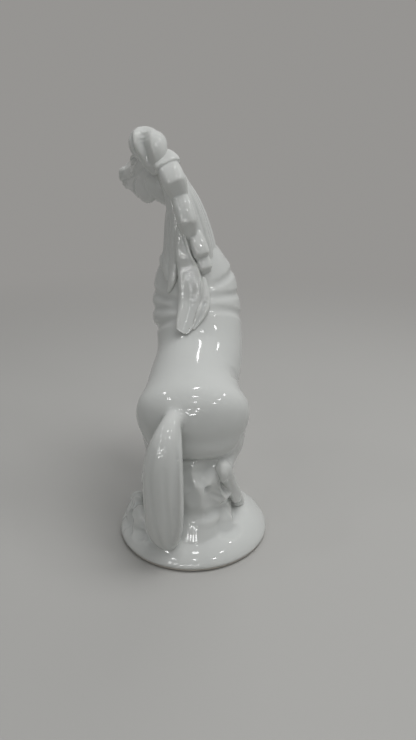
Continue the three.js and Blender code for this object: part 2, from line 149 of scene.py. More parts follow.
def normals_of(piece):
    """The way that a piece's skin faces at each of its points."""
    normals = np.empty(3 * len(piece.data.vertices))
    piece.data.vertex_normals.foreach_get("vector", normals)
    return normals.reshape(-1, 3)


def finished(piece, material, *nodes):
    """Shades a piece, notes how hollow each point lies, where the glaze paints shade, and puts the piece
    in the place of its nodes."""
    mesh = piece.data
    mesh.polygons.foreach_set("use_smooth", np.ones(len(mesh.polygons), bool))
    points = points_of(piece)
    normals = normals_of(piece)
    ends = np.empty(2 * len(mesh.edges), int)
    mesh.edges.foreach_get("vertices", ends)
    start, end = ends.reshape(-1, 2).T
    count = np.bincount(start, minlength=len(points)) + np.bincount(end, minlength=len(points))

    def around(values):
        """The mean of a value over each point's neighbours."""
        total = np.bincount(start, values[end], len(points)) + np.bincount(end, values[start], len(points))
        return total / np.maximum(count, 1)

    middle = np.stack([around(points[:, k]) for k in range(3)], 1)
    square = (points**2).sum(1)
    spread = np.maximum(around(square) - 2 * (points * middle).sum(1) + square, 1e-9)
    # Points that lie in a hollow score high, and the glaze paints them darker as shade.
    hollow = ((middle - points) * normals).sum(1) / spread
    for _ in range(HOLLOW_PASSES):
        hollow = 0.5 * hollow + 0.5 * around(hollow)
    shade = np.clip(0.5 + HOLLOW_GAIN * hollow, 0, 1)
    attribute = mesh.attributes.new("hollow", "FLOAT", "POINT")
    attribute.data.foreach_set("value", shade.astype(np.float32))
    mesh.materials.clear()
    mesh.materials.append(material)
    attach(piece, "root")
    if nodes:
        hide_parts(*nodes)


def node_of(tree, kind, **sockets):
    """A shader node with some of its sockets linked or set."""
    node = tree.nodes.new(kind)
    for name, value in sockets.items():
        if isinstance(value, bpy.types.NodeSocket):
            tree.links.new(value, node.inputs[name])
        else:
            node.inputs[name].default_value = value
    return node


def range_of(tree, value, reads=(0, 1), gives=(0, 1)):
    """A node that takes one range of a value to another."""
    node = node_of(tree, "ShaderNodeMapRange", Value=value)
    node.inputs["From Min"].default_value, node.inputs["From Max"].default_value = reads
    node.inputs["To Min"].default_value, node.inputs["To Max"].default_value = gives
    return node


# Glaze thins on ridges and pools in hollows. The hollows and creases are painted darker as shade, with a
# little of the cooler tint of pooled glaze.
glaze_tone_and_shade = bpy.data.node_groups.new("glaze_tone_and_shade", "ShaderNodeTree")
for name, way, kind in (
    ("Thin", "INPUT", "NodeSocketColor"),
    ("Pooled_Shaded", "INPUT", "NodeSocketColor"),
    ("Clouding", "INPUT", "NodeSocketFloat"),
    ("Color", "OUTPUT", "NodeSocketColor"),
    ("Roughness", "OUTPUT", "NodeSocketFloat"),
    ("Height", "OUTPUT", "NodeSocketFloat"),
):
    glaze_tone_and_shade.interface.new_socket(name, in_out=way, socket_type=kind)
given = glaze_tone_and_shade.nodes.new("NodeGroupInput")
spot = glaze_tone_and_shade.nodes.new("ShaderNodeTexCoord").outputs["Object"]
pooling_and_shade = glaze_tone_and_shade.nodes.new("ShaderNodeAttribute")
pooling_and_shade.attribute_name = "hollow"
cloud = node_of(glaze_tone_and_shade, "ShaderNodeTexNoise", Vector=spot, Scale=38.0, Detail=3.0)
drift = node_of(glaze_tone_and_shade, "ShaderNodeMath", Value=cloud.outputs["Fac"])
drift.operation = "SUBTRACT"
drift.inputs[1].default_value = 0.5
swing = glaze_tone_and_shade.nodes.new("ShaderNodeMath")
swing.operation = "MULTIPLY_ADD"
glaze_tone_and_shade.links.new(drift.outputs[0], swing.inputs[0])
glaze_tone_and_shade.links.new(given.outputs["Clouding"], swing.inputs[1])
glaze_tone_and_shade.links.new(pooling_and_shade.outputs["Fac"], swing.inputs[2])
# How far each point goes toward the darker pooled colour: painted shade in hollows and creases, plus random
# clouding.
depth = range_of(glaze_tone_and_shade, swing.outputs[0], reads=(0.35, 0.95))
tone = glaze_tone_and_shade.nodes.new("ShaderNodeMix")
tone.data_type = "RGBA"
glaze_tone_and_shade.links.new(depth.outputs["Result"], tone.inputs["Factor"])
glaze_tone_and_shade.links.new(given.outputs["Thin"], tone.inputs["A"])
glaze_tone_and_shade.links.new(given.outputs["Pooled_Shaded"], tone.inputs["B"])
pins = node_of(glaze_tone_and_shade, "ShaderNodeTexVoronoi", Vector=spot, Scale=46.0)
speck = range_of(glaze_tone_and_shade, pins.outputs["Distance"], reads=(0.012, 0.02))
speckled = glaze_tone_and_shade.nodes.new("ShaderNodeMix")
speckled.data_type = "RGBA"
speckled.inputs["A"].default_value = (0.24, 0.22, 0.19, 1)
glaze_tone_and_shade.links.new(speck.outputs["Result"], speckled.inputs["Factor"])
glaze_tone_and_shade.links.new(tone.outputs["Result"], speckled.inputs["B"])
polish = range_of(glaze_tone_and_shade, cloud.outputs["Fac"], gives=(0.06, 0.13))
skin_of_glaze = node_of(glaze_tone_and_shade, "ShaderNodeTexNoise", Vector=spot, Scale=210.0, Detail=1.0)
made = glaze_tone_and_shade.nodes.new("NodeGroupOutput")
glaze_tone_and_shade.links.new(speckled.outputs["Result"], made.inputs["Color"])
glaze_tone_and_shade.links.new(polish.outputs["Result"], made.inputs["Roughness"])
glaze_tone_and_shade.links.new(skin_of_glaze.outputs["Fac"], made.inputs["Height"])


def glazed(name, thin, pooled_shade_colour, clouding):
    """A clear glaze fired over white porcelain, with painted shade and a cooler pooled tint in its hollows.
    """
    material = bpy.data.materials.new(name)
    material.use_nodes = True
    tree = material.node_tree
    shader = tree.nodes["Principled BSDF"]
    group = tree.nodes.new("ShaderNodeGroup")
    group.node_tree = glaze_tone_and_shade
    group.inputs["Thin"].default_value = (*thin, 1)
    group.inputs["Pooled_Shaded"].default_value = (*pooled_shade_colour, 1)
    group.inputs["Clouding"].default_value = clouding
    bump = node_of(tree, "ShaderNodeBump", Height=group.outputs["Height"], Strength=0.02, Distance=0.0004)
    tree.links.new(group.outputs["Color"], shader.inputs["Base Color"])
    tree.links.new(group.outputs["Roughness"], shader.inputs["Roughness"])
    tree.links.new(bump.outputs["Normal"], shader.inputs["Normal"])
    shader.inputs["IOR"].default_value = 1.5
    shader.inputs["Coat Weight"].default_value = 0.6
    shader.inputs["Coat Roughness"].default_value = 0.03
    return material


# The pooled colour is darker than the thin one: painted shade in the hollows, with the cooler tint of thick
# glaze.
glaze = glazed("porcelain_glaze", thin=(0.66, 0.67, 0.65), pooled_shade_colour=(0.55, 0.575, 0.57), clouding=0.12)

# Where the glaze is wiped off the foot, the fired clay is left dry, a little warmer and fine-grained.
biscuit = bpy.data.materials.new("bare_biscuit")
biscuit.use_nodes = True
tree = biscuit.node_tree
shader = tree.nodes["Principled BSDF"]
spot = tree.nodes.new("ShaderNodeTexCoord").outputs["Object"]
grit = node_of(tree, "ShaderNodeTexNoise", Vector=spot, Scale=900.0, Detail=4.0)
stain = node_of(tree, "ShaderNodeTexNoise", Vector=spot, Scale=30.0, Detail=3.0)
bare = tree.nodes.new("ShaderNodeMix")
bare.data_type = "RGBA"
bare.inputs["A"].default_value = (0.5, 0.46, 0.4, 1)
bare.inputs["B"].default_value = (0.62, 0.59, 0.54, 1)
tree.links.new(stain.outputs["Fac"], bare.inputs["Factor"])
tree.links.new(bare.outputs["Result"], shader.inputs["Base Color"])
dry = range_of(tree, grit.outputs["Fac"], gives=(0.6, 0.85))
tree.links.new(dry.outputs["Result"], shader.inputs["Roughness"])
bump = node_of(tree, "ShaderNodeBump", Height=grit.outputs["Fac"], Strength=0.3, Distance=0.0002)
tree.links.new(bump.outputs["Normal"], shader.inputs["Normal"])

PLINTH_RADIUS = 58
PLINTH_PROFILE = [
    (20, 2), (50, 2), (56, 2), (57.6, 2.3), (PLINTH_RADIUS, 3.2), (57.8, 4.4), (57, 6.4), (54.4, 10),
    (50.6, 13.6), (45.6, 17.2), (40, 20.2), (35, 22.2), (30, 23.4), (20, 24.4), (8, 24.9),
]
FOOT_PROFILE = [
    (30, 1.5), (50.4, 1.5), (51.6, 1.3), (52.4, 0.4), (53, 0.15), (55.6, 0.15), (56.4, 0.6), (56.7, 1.4),
    (56.6, 2.8), (40, 3),
]
VENT_RADIUS = 4.5
VENT_PLACE = Vector((0, 20, 0))
DRILL_LENGTH = 16


def turned(name, profile):
    """A round piece turned from radius and height, with the vent bored into it from below."""
    rings = [(0, 0, height, radius, radius) for radius, height in profile]
    piece = clay(name, [form(rings, corners=64, tips=(0, 0), axis=(0, 0, 1))], 1)
    bpy.ops.mesh.primitive_cylinder_add(
        vertices=32, radius=VENT_RADIUS * MM, depth=DRILL_LENGTH * MM, location=VENT_PLACE * MM)
    drill = bpy.context.object
    modified(piece, "BOOLEAN", object=drill, operation="DIFFERENCE")
    bpy.data.objects.remove(drill)
    return piece


foot = turned("foot_ring", FOOT_PROFILE)
finished(foot, biscuit)
plinth = turned("plinth_dome", PLINTH_PROFILE)

# Rock: a broken column under the haunches that holds the horse up, and a low crag along the plinth's left
# rim. They are pressed by hand against the plinth while the clay is wet, so that all three flow into each
# other, and the glaze rounds every edge.
ROCK = [
    (2, -8, 8, 32, 42, 39), (2, -8, 15, 30, 39.5, 36.5), (2.5, -8, 23, 27, 35, 33.5),
    (3, -7, 32, 25.5, 31.5, 32), (3.5, -6, 41, 26.5, 35, 31.5), (4, -5, 52, 26, 35.5, 30.5),
    (4, -4, 65, 24.5, 33.5, 29.5), (4, -4, 75, 21, 30, 27),
]
ROCK_MIDDLE = 3.5
ROCK_GRAIN = 0.8
ROCK_SHELF = [(-10, -27, 70, 8, 8), (5, -28, 71, 9, 8.5), (19, -25, 69, 8, 8)]
ROCK_SHOULDER = [(12, -27, 56, 9, 9), (20, -28, 51, 8.5, 8.5), (25, -27, 45, 6.5, 6.5)]
ROCK_BACKING = [(15, -24, 71, 8, 8), (18, -25, 61, 9, 9), (22, -21, 51, 9, 9), (26, -12, 40, 8, 8)]
ROCK_FACET = 13
REAR_FACET = 15
REAR_FACETS = [
    (-2, 61, -22, 10, 1.5), (13, 67, 4, 36, 3), (25, 50, 30, 14, 2), (19, 45, 12, -8, 2),
    (4, 48, -10, 2, 1.5),
]
CRAG = [
    (231, 21, 18), (222, 18, 23), (207, 15, 28), (191, 12.5, 30.5), (174, 12, 29.5), (159, 14, 23),
    (150, 17, 17),
]
CRAG_THICKNESS = 17
CRAG_FACET = 10
CRAG_FACETS = [(0.7, 0.2, 0.5, 6.5), (-0.5, 0.5, 0.75, 5.5), (0.2, 1.4, 0.95, 3)]
CRAG_CLEFTS = (1, 3, 4, 5)
ROCK_STROKES = [
    ([(14.6, -40, 54.3)], 4.4, -3.4),
    ([(15, -40, 55), (21, -38, 57), (26, -35, 58)], 3.4, -1.2),
    ([(15, -40, 54), (21, -38, 51.5), (27, -35, 49)], 3.4, -1.4),
    ([(14, -40, 53), (19, -39, 47), (23, -37, 43)], 3.4, -1.2),
    ([(13, -40, 55), (9, -40, 60), (6, -39, 65)], 4, -0.8),
    ([(8, -40, 36), (18, -40, 36), (28, -35, 35.5), (34, -28, 34)], 6.5, -2.4),
    ([(5, -42, 29.5), (16, -43, 29.5), (27, -38, 29), (34, -30, 28)], 4, 0.5),
]


def spline(stops, share):
    """The smooth value at a share of the way through a list of stops."""
    stops = np.asarray(stops, float)
    last = len(stops) - 1
    place = min(max(share, 0), 1) * last
    i = max(min(int(place), last - 1), 0)
    part = place - i
    before, here, ahead, beyond = (stops[min(max(k, 0), last)] for k in (i - 1, i, i + 1, i + 2))
    bend = 2 * before - 5 * here + 4 * ahead - beyond
    twist = 3 * (here - ahead) + beyond - before
    return here + 0.5 * part * (ahead - before + part * (bend + part * twist))


def on_form(rings, share, degrees, lift=0.0):
    """A point on a form's skin: its share along the form, its angle round it and its height above it."""
    rings = [(*ring, ring[-1]) if len(ring) == 5 else ring for ring in rings]
    ring = spline(rings, share)
    along = spline(rings, share + 0.01)[:3] - spline(rings, share - 0.01)[:3]
    along /= np.linalg.norm(along)
    side = np.array((1, 0, 0))
    across = side - along * np.dot(side, along)
    across /= np.linalg.norm(across)
    angle = math.radians(degrees)
    high = ring[4] if math.sin(angle) > 0 else ring[5]
    wide = across * math.cos(angle) * (ring[3] + lift)
    tall = np.cross(across, along) * (math.sin(angle) * (high + lift))
    return ring[:3] + wide + tall


def beside(points, line, reach):
    """The points that may lie within reach of a line, and how far they are from each of its steps."""
    near = np.flatnonzero(((points > line.min(0) - reach) & (points < line.max(0) + reach)).all(1))
    return near, np.linalg.norm(points[near, None] - line[None], axis=2)


def nearness(gaps, reach):
    """1 close to the tool, and 0 at the end of its reach."""
    return np.clip(1.6 * (1 - gaps / reach), 0, 1)


def sculpted(piece, strokes):
    """Strokes of the modelling tool: each follows its stops, set down on the skin, and raises or presses in
    the clay beside it."""
    for stops, reach, height in strokes:
        points = points_of(piece)
        stops = [points[((points - stop) ** 2).sum(1).argmin()] for stop in stops]
        steps = 8 * len(stops)
        line = np.array([spline(stops, k / steps) for k in range(steps + 1)])
        near, gaps = beside(points, line, reach)
        fall = np.clip(1 - (gaps.min(1) / reach) ** 2, 0, 1) ** 2
        if len(stops) > 1:
            share = np.clip(gaps.argmin(1) / steps, 0.03, 0.97)
            fall *= np.sqrt(np.sin(np.pi * share))
        points[near] += normals_of(piece)[near] * (height * fall)[:, None]
        set_points(piece, points)


def cut_facet(piece, place, facing, reach):
    """Flattens the clay that stands out past a plane, near its middle, as a stroke of the knife does."""
    points = points_of(piece)
    away = points - place
    near = nearness(np.linalg.norm(away, axis=1), reach)
    out = np.maximum(away @ facing, 0)
    set_points(piece, points - np.outer(out * near * near * (3 - 2 * near), facing))


def at_rear(degrees):
    """The rear of the column has no boulders, and facets of its own."""
    return 40 < degrees < 135


def boulder(place, size, turn):
    """An angular lump of clay, pressed into the column."""
    bpy.ops.mesh.primitive_ico_sphere_add(
        subdivisions=1, radius=size * MM, location=Vector(place) * MM, rotation=turn, scale=(1, 1.2, 0.9))
    bpy.ops.object.transform_apply(location=True, rotation=True, scale=True)
    return bpy.context.object


def crag_wall():
    """The low wall of the crag, along the rim."""
    rings = []
    for degrees, inset, top in CRAG:
        radius = PLINTH_RADIUS - inset
        angle = math.radians(degrees)
        place = (radius * math.cos(angle), radius * math.sin(angle), top / 2 + 1)
        rings.append((*place, top / 2 - 1, CRAG_THICKNESS / 2))
    return form(rings, side=(0, 0, 1), tips=(0.6, 0.6))


lumps = []
for level in range(6):
    for k in range(9):
        degrees = (40 * k + 23 * level) % 360
        if not at_rear(degrees):
            share = 0.14 + 0.15 * level + 0.03 * math.sin(3 * k + level)
            place = on_form(ROCK, share, degrees, -5.5 + 2 * math.sin(5 * k + 2 * level))
            size = 9 + 2 * math.sin(2.3 * k + 1.7 * level)
            lumps.append(boulder(place, size, (k, 1.3 * level, 0.7 * k)))
masses = clay("rock_masses", [
    form(ROCK, corners=14, tips=(0, 0.5)),
    form(ROCK_SHELF, side=(0, 1, 0)),
    form(ROCK_SHOULDER, side=(0, 1, 0)),
    form(ROCK_BACKING),
    crag_wall(),
])
base = fused(joined("plinth_and_rock", [plinth, masses, *lumps]), ROCK_GRAIN, 10)
for level in range(7):
    for k in range(10):
        degrees = (36 * k + 17 * level) % 360
        if at_rear(degrees):
            continue
        share = 0.26 + 0.11 * level
        place = on_form(ROCK, share, degrees, 0.4 + 1.2 * math.sin(2.1 * k + level))
        facing = on_form(ROCK, share, degrees, 1) - on_form(ROCK, share, degrees)
        facing[2] += 0.55 * math.sin(1.9 * k + 2.6 * level)
        facing[:2] += 0.3 * math.cos(3.1 * k + level) * np.array((-facing[1], facing[0]))
        cut_facet(base, place, facing / np.linalg.norm(facing), ROCK_FACET)
for x, z, turn, tilt, depth in REAR_FACETS:
    turn, tilt = math.radians(turn), math.radians(tilt)
    facing = np.array((math.sin(turn) * math.cos(tilt), -math.cos(turn) * math.cos(tilt), math.sin(tilt)))
    share = next(k / 100 for k in range(100) if spline(ROCK, k / 100)[2] > z)
    angle = math.acos(max(min((x - ROCK_MIDDLE) / spline(ROCK, share)[3], 0.95), -0.95))
    place = on_form(ROCK, share, math.degrees(angle), 0.5) - depth * facing
    cut_facet(base, place, facing, REAR_FACET)
rim_strokes = []
for k, (degrees, inset, top) in enumerate(CRAG):
    angle = math.radians(degrees)
    out = np.array((math.cos(angle), math.sin(angle), 0))
    aside = np.array((-out[1], out[0], 0))
    up = np.array((0, 0, 1))
    radius = PLINTH_RADIUS - inset
    for turn, rise, height, depth in CRAG_FACETS:
        facing = out + turn * math.cos(2.2 * k) * aside + rise * up
        place = (radius + depth + math.sin(3.7 * k)) * out + 3 * math.sin(5 * k + rise) * aside
        cut_facet(base, place + height * top * up, facing / np.linalg.norm(facing), CRAG_FACET)
    if k in CRAG_CLEFTS:
        foot_stop = (radius + 9) * out + 5 * aside + 8 * up
        top_stop = (radius + 1) * out + (5 + 2 * math.sin(4 * k)) * aside + top * up
        back_stop = (radius - 7) * out + 4 * aside + (top - 4) * up
        half_way = (foot_stop + top_stop) / 2 + 2 * out
        rim_strokes.append(([foot_stop, half_way, top_stop, back_stop], 4.5, -2.6))
sculpted(base, ROCK_STROKES + rim_strokes)
softened(base, 3)
finished(base, glaze, "plinth", "rock_mound", "rock_spur")

# Horse: trunk, neck, legs and tail, cast separately, luted together with slip and fettled smooth before
# glazing, so that no joint shows between them. Soft bands of flesh fan round each shoulder, and the tail is
# one broad lock that leaves the croup and comes to rest on the plinth, with a narrower strand beside it.
BARREL = [
    (0.5, -21, 85, 36, 20, 24), (0.5, -11, 105, 41, 27, 36), (-0.4, 13, 119, 33.6, 30.5, 31),
    (5.4, 30, 129, 33.8, 31, 31), (5.5, 42, 142, 34, 32, 33), (3.6, 54, 166, 34, 32, 32),
    (1.8, 57, 191, 30.8, 26.5, 28), (-0.5, 57, 212, 22, 21, 23),
]
CROUP = [
    (0.5, -8, 131, 16, 9), (0.5, -10.5, 127, 28, 16.5), (0.5, -12.5, 120, 39, 23.5),
    (0.5, -13, 110, 42.6, 26.3), (0.5, -13.5, 96, 41, 26), (0.5, -12.5, 83, 33.4, 21.5),
    (0.5, -10, 74, 23, 14),
]
CROUP_LINE = [(-41, 4, 112), (-35, -3, 122), (-24, -9, 130), (-4, -13, 135), (16, -11, 133), (29, -5, 127)]
DOCK = [(-6.5, -26, 112, 9, 6.5), (-10, -33, 112, 7.4, 6.6), (-13, -41, 109.5, 6.2, 6.2)]
NECK = [
    (0.2, 57, 186, 23.5, 25, 27), (-0.5, 55.8, 205, 20.5, 24, 25), (-3, 54, 226, 16.5, 22, 20.5),
    (-6.5, 50.5, 246, 12.8, 18.5, 16.5), (-14, 50, 263, 10.75, 15, 14), (-22, 54, 275, 9.75, 12.5, 12),
]
MASS_GRAIN = 1.2
BODY_GRAIN = 1.03
LEFT, RIGHT = -1, 1
BAND_GROOVES = {
    RIGHT: [(0.825, 0.877), (0.775, 0.774), (0.675, 0.668)],
    LEFT: [(0.755, 0.815), (0.7, 0.733), (0.64, 0.645)],
}
GROOVE_REACH = 4.8
GROOVE_DEPTH = {RIGHT: -1.4, LEFT: -1.7}
GROOVE_SIDE = 0.62


def eased(piece, stops, reach, times):
    """Fettles the clay smooth beside a line, as with a wet sponge."""
    points = points_of(piece)
    line = np.array([spline(stops, k / 24) for k in range(25)])
    near, gaps = beside(points, line, reach)
    sponge = piece.vertex_groups.new(name="sponge")
    for index, weight in zip(near, nearness(gaps.min(1), reach)):
        sponge.add([int(index)], float(weight), "REPLACE")
    modified(piece, "SMOOTH", factor=0.5, iterations=times, vertex_group="sponge")
    piece.vertex_groups.clear()


def between(start, end, share=0.5):
    """A place on the way from one place to another."""
    return tuple((1 - share) * first + share * last for first, last in zip(start, end))


def thigh(hand):
    """The thigh, from the hip to the stifle."""
    return form([
        (1 + 16 * hand, -8, 109, 18, 18), (1 + 19 * hand, -8, 93, 21, 23),
        (1 + 21 * hand, -2, 77, 17.5, 21), (1 + 24 * hand, 11, 66, 12.5, 14),
    ], tips=(0.6, 0.7))


def gaskin(hand, hock):
    """The lower thigh, from the stifle back to the hock."""
    stifle = (1 + 25 * hand, 11, 67)
    x, y, z = between(stifle, hock)
    return form([(*stifle, 11, 12), (x, y, z + 3, 9.5, 11), (*hock, 7, 7)], tips=(0.7, 0.8))


def hind_foot(hand, hock):
    """The point of the hock, the cannon with its tendon, the fetlock, and the hoof with its coronet."""
    x, y, z = hock
    fetlock = (32.5 * hand, y + 19, 34)
    cannon = between(hock, fetlock)
    ankle = fetlock[1]
    hock_point = [(x, y - 3, z + 4, 4.2, 4.6), (x, y - 6.5, z - 1, 3.6, 3.8), (x, y - 4, z - 7, 2.6, 2.6)]
    shin = [(x, y - 1, z + 2, 7, 7, 7.5), (*cannon, 5, 5.2, 5.8), (*fetlock, 6.2, 6.2, 7)]
    tendon = [(*cannon[:2], cannon[2] - 2, 2.6, 6.6), (fetlock[0], ankle - 5.6, 33, 3.4, 3.6)]
    pastern = [(*fetlock, 5.4, 5.4, 6), (33 * hand, ankle + 7, 27.5, 6.3, 6.6, 6.2)]
    coronet = [
        (33 * hand, ankle + 8, 26.6, 7.9, 8.2, 7.6), (33.1 * hand, ankle + 9.4, 24.6, 8, 8.4, 7.4),
    ]
    hoof = [(33 * hand, ankle + 9, 25, 7.2, 7.6, 6.8), (33.5 * hand, ankle + 14, 15, 9.2, 10, 8)]
    return [
        form(hock_point, tips=(0.8, 0.5)),
        form(shin, tips=(0.8, 0.7)),
        form(tendon, tips=(0.5, 0.8)),
        form(pastern, tips=(0.6, 0.5)),
        form(coronet, tips=(0.3, 0.3)),
        form(hoof, tips=(0.3, 0)),
    ]


def forearm(hand, knee):
    """The upper foreleg, from the shoulder to the knee."""
    elbow = (3.8 + 20 * hand, 82, 146)
    return form([
        (3.8 + 17 * hand, 66, 152, 11, 15), (*elbow, 9.5, 12.5), (*between(elbow, knee, 0.55), 7.2, 9),
        (*knee, 7, 7.5),
    ], tips=(0.7, 0.7))


def forefoot(hand, knee, fetlock):
    """The knee, the cannon with its tendon, the fetlock, and the hoof with its coronet."""
    x, y, z = fetlock
    cannon = between(knee, fetlock)
    kneecap = [
        (knee[0], knee[1] + 1, knee[2] + 2, 7.4, 7.6), (knee[0], knee[1] + 1.5, knee[2] - 5, 6.8, 7),
    ]
    shin = [(knee[0], knee[1], knee[2] + 1, 6.8, 7, 6.2), (*cannon, 5, 5.2), (*fetlock, 6.2, 6.6, 6.2)]
    tendon = [(cannon[0], cannon[1] - 2, cannon[2], 2.6, 4.6), (x, y - 5, z + 1, 3.4, 3.8)]
    pastern = [(*fetlock, 5.4, 5.4), (x - 0.8 * hand, y - 6.5, z - 6.5, 6.3, 6.3)]
    coronet = [(x - 0.9 * hand, y - 7, z - 7, 7.8, 7.8), (x - 1.1 * hand, y - 8.6, z - 8.8, 8, 8)]
    hoof = [(x - hand, y - 8, z - 8, 7.2, 7.2), (x - 2 * hand, y - 15, z - 16, 9.2, 9.2)]
    return [
        form(kneecap, tips=(0.7, 0.7)),
        form(shin, tips=(0.7, 0.7)),
        form(tendon, tips=(0.5, 0.8)),
        form(pastern, tips=(0.6, 0.5)),
        form(coronet, tips=(0.3, 0.3)),
        form(hoof, tips=(0.3, 0)),
    ]


def shoulders():
    """The fuller flesh round both shoulders."""
    rings = []
    for share in (0.65, 0.7, 0.76, 0.82, 0.88, 0.94):
        x, y, z, wide, back, front = spline(BARREL, share)
        rings.append((x - 1.1, y, z, wide + 1.6, back - 5, front - 3))
    return form(rings, corners=16, tips=(0.12, 0.2))


def band_groove(hand, back, side):
    """One groove between two bands, from the withers round the shoulder to the chest."""
    stops = []
    for share in (0, 0.2, 0.4, 0.6, 0.8, 1):
        degrees = 72 - 112 * share
        along = back + (side - back) * min(share / GROOVE_SIDE, 1)
        along += 0.3 * (back - side) * max(share - GROOVE_SIDE, 0)
        turn = degrees if hand == RIGHT else 180 - degrees
        stops.append(on_form(BARREL, along, turn, 1.5 * share**0.5))
    return stops, GROOVE_REACH, GROOVE_DEPTH[hand]


TAIL = [
    (-10.5, -33, 112, 6.5, 6), (-13.5, -42, 109.5, 6.6, 6.6), (-16.5, -49, 102, 9.2, 7.6),
    (-19.5, -53, 90, 11, 8.4), (-21.3, -54, 72, 12, 8.4), (-20.8, -52.5, 50, 12.2, 8.2),
    (-20.6, -50, 32, 12.2, 7.6), (-19.5, -47, 20, 9.5, 6), (-16.5, -45.5, 12.5, 4.5, 3.5),
]
TAIL_STRAND = [
    (-9, -41, 108, 2.6, 4.5), (-8.6, -49, 99, 3, 5.4), (-8.2, -52.5, 84, 3.2, 6),
    (-8.2, -53.5, 66, 3.4, 6.2), (-8.6, -53, 48, 3.8, 6), (-9.6, -51, 32, 4, 5.6),
    (-12, -48.5, 20, 3.6, 4.6), (-15.5, -46, 12.5, 2.6, 3),
]
TAIL_STROKES = [
    ([(-26, -60, 96), (-27.5, -61, 76), (-26, -60, 52), (-24, -57, 30), (-21, -52, 17)], 3, -0.8),
    ([(-17, -61, 84), (-16.5, -62, 64), (-16, -60, 44), (-16, -56, 26), (-17, -51, 15)], 3, -0.7),
    ([(-31.5, -56, 80), (-32, -56, 58), (-31, -53, 36)], 3, -0.8),
    ([(-21, -61, 40), (-20, -57, 26), (-18.5, -52, 16)], 2.4, 0.6),
    ([(-10, -47, 104), (-9, -56, 90), (-8.8, -59, 70), (-9, -58, 50), (-10.4, -55, 34), (-13, -50, 20)],
     2.2, -1.2),
]
HOCKS = {LEFT: (-31, -26, 58), RIGHT: (22.5, -28, 66.5)}
KNEES = {LEFT: (-19, 124, 165), RIGHT: (22, 121, 150)}
FETLOCKS = {LEFT: (-17, 117, 133), RIGHT: (19, 108, 120)}
FLESH_STROKES = [
    ([(26, 0, 132), (30, 4, 127), (33, 9, 121), (35, 16, 114)], 6.5, -1.3),
    ([(1, 92, 196), (2, 92, 182), (3, 90, 166), (3.5, 86, 150)], 6, -1.6),
    ([(-33, 20, 118), (-35, 14, 110), (-36, 10, 100)], 7, -0.9),
]
masses = [
    form(BARREL, corners=16, tips=(0.7, 0.4)),
    form(NECK, corners=14, tips=(0.4, 0.4)),
    form(DOCK),
    form(CROUP, corners=16, tips=(0.5, 0.5)),
    shoulders(),
]
details = [form(TAIL), form(TAIL_STRAND)]
grooves = []
for hand in (LEFT, RIGHT):
    breast = [
        (2 + 11 * hand, 73, 192, 12, 9), (2.5 + 12 * hand, 77, 175, 14, 10),
        (3 + 11 * hand, 76, 158, 12, 10),
    ]
    masses += [thigh(hand), gaskin(hand, HOCKS[hand]), forearm(hand, KNEES[hand]), form(breast)]
    details += hind_foot(hand, HOCKS[hand]) + forefoot(hand, KNEES[hand], FETLOCKS[hand])
    grooves += [band_groove(hand, *groove) for groove in BAND_GROOVES[hand]]
body = fused(clay("horse_masses", masses), MASS_GRAIN, 36)
eased(body, CROUP_LINE, reach=27, times=240)
body = fused(joined("horse_body", [body, clay("horse_details", details)]), BODY_GRAIN, 5)
sculpted(body, FLESH_STROKES + grooves + TAIL_STROKES)
softened(body, 4)
finished(
    body, glaze, "trunk", "neck", "hind_leg_left", "hind_leg_right", "foreleg_left", "foreleg_right",
    "tail", "tail_strand")

# Head: turned to the horse's left, cast with its ears and luted to the neck behind the jowl.
# Eyes, nostrils and lips are modelled in the clay, and the glaze paints their corners darker as shade.
HEAD_ROOT = Vector((-23, 56, 278))
HEAD_TURN = math.radians(33)
HEAD_DROP = math.radians(12)
SKULL = [
    (0, -7, -1, 8, 8, 10), (0, 4, 0, 11, 11, 13), (0, 14, 0.6, 12.3, 11.8, 14),
    (0, 24, 0.6, 11.6, 11.2, 13), (0, 34, 0.3, 9.4, 10.4, 12), (0, 44, 0.2, 8.2, 9.8, 11),
    (0, 53, 0, 8.6, 9.3, 10), (0, 60, -0.6, 8.3, 8, 9),
]
NOSE_BRIDGE = [(0, 15, 10.4, 6, 3), (0, 32, 9, 5, 2.4), (0, 52, 7.6, 4.6, 2.2)]
CHIN = [(0, 49, -7.5, 5.6, 4), (0, 55, -7.6, 5.4, 4), (0, 60, -6.8, 4.6, 3.4)]
THROAT = [(-11, 52, 248, 7, 8), (-20, 52, 255, 9, 11), (-30, 57, 261.5, 8.5, 12)]
HEAD_SIDE = {
    "jaw": [
        (6, -4, -8, 3.5, 8, 10), (6.8, 6, -12, 5.4, 10, 16.5), (6.6, 16, -13, 5.4, 10, 17),
        (5.6, 28, -11.5, 4.4, 9, 12.5), (4.4, 41, -8.8, 3.4, 6, 7.6), (3.4, 50, -7.5, 3.2, 4.5, 5.4),
    ],
    "brow": [(8, 15, 8.4, 2.2, 2.4), (10, 21.5, 7.8, 2, 2.2), (9.4, 28, 5.8, 1.6, 1.8)],
    "cheekbone": [(9.8, 25, -2, 2.2, 2.2), (8.8, 32, -3, 1.8, 1.8), (7.6, 38, -3.6, 1.2, 1.2)],
    "eye": [(9.2, 18.8, 3.2, 2.8, 2.2), (9.6, 22.4, 3.4, 4.2, 3.7), (9, 26.4, 3, 2.8, 2.2)],
    "nostril": [(5.4, 50, 3, 3.6, 4.4), (6.4, 56, 2, 3.6, 4.4), (5.2, 61, 0.6, 3, 3.8)],
}
